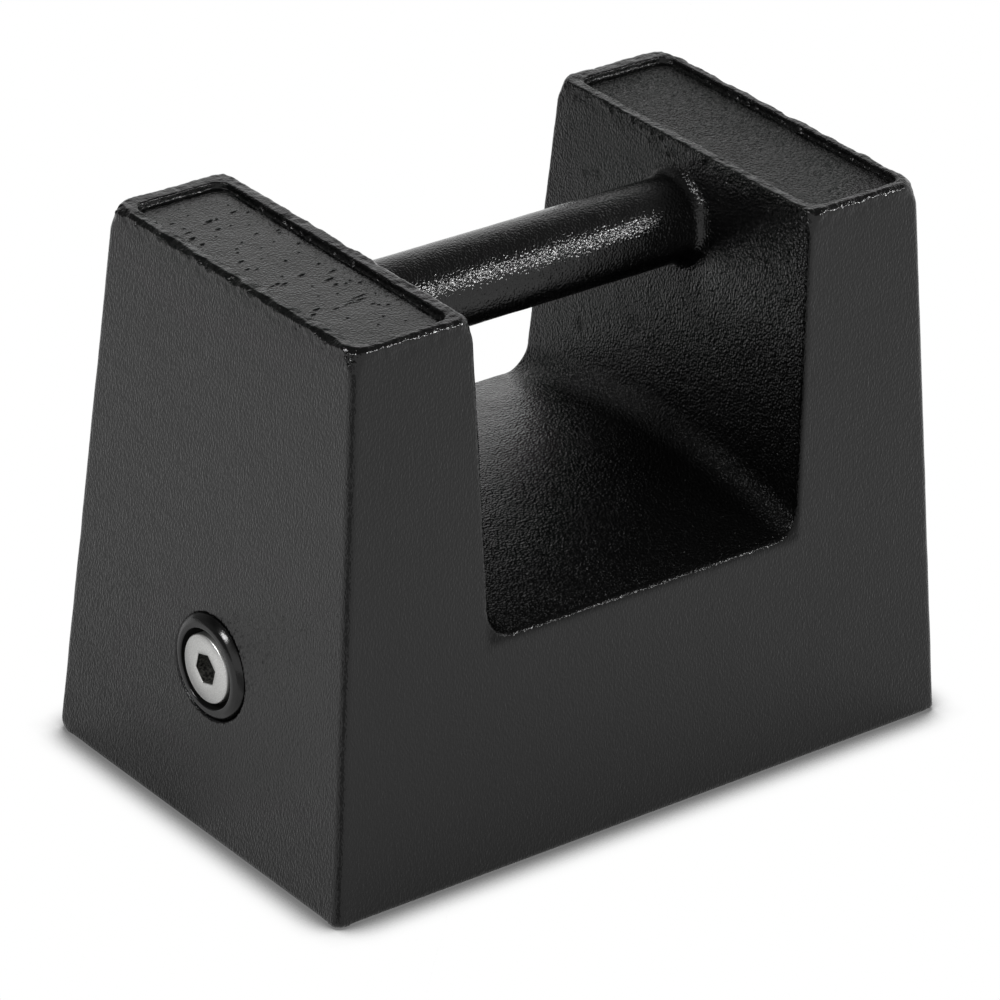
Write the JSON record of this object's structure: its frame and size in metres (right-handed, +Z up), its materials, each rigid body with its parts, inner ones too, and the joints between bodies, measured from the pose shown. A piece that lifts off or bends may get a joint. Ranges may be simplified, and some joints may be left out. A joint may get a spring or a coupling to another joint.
{
  "type": "calibration test weight",
  "caption": "Rectangular cast iron calibration test weight with a grip bar between two rimmed towers and an adjusting cavity closed by a hexagon socket screw plug.",
  "frame": {"origin": "middle of the base, on the surface that the weight stands on", "axes": "+Z up, +X along the length and the grip bar, away from the end that holds the screw plug, +Y across"},
  "size_m": [0.208, 0.1312, 0.1613],
  "materials": {
    "painted_casting": "black paint over a rough sand casting",
    "painted_bush": "thin black paint over a turned steel face",
    "turned_steel": "bare, finely turned",
    "lead": "dull, tamped"
  },
  "bodies": {
    "root": {"cast_body": "painted_casting", "cavity_bush": "painted_bush", "screw_plug": "turned_steel", "adjusting_charge": "lead"}
  },
  "joints": []
}
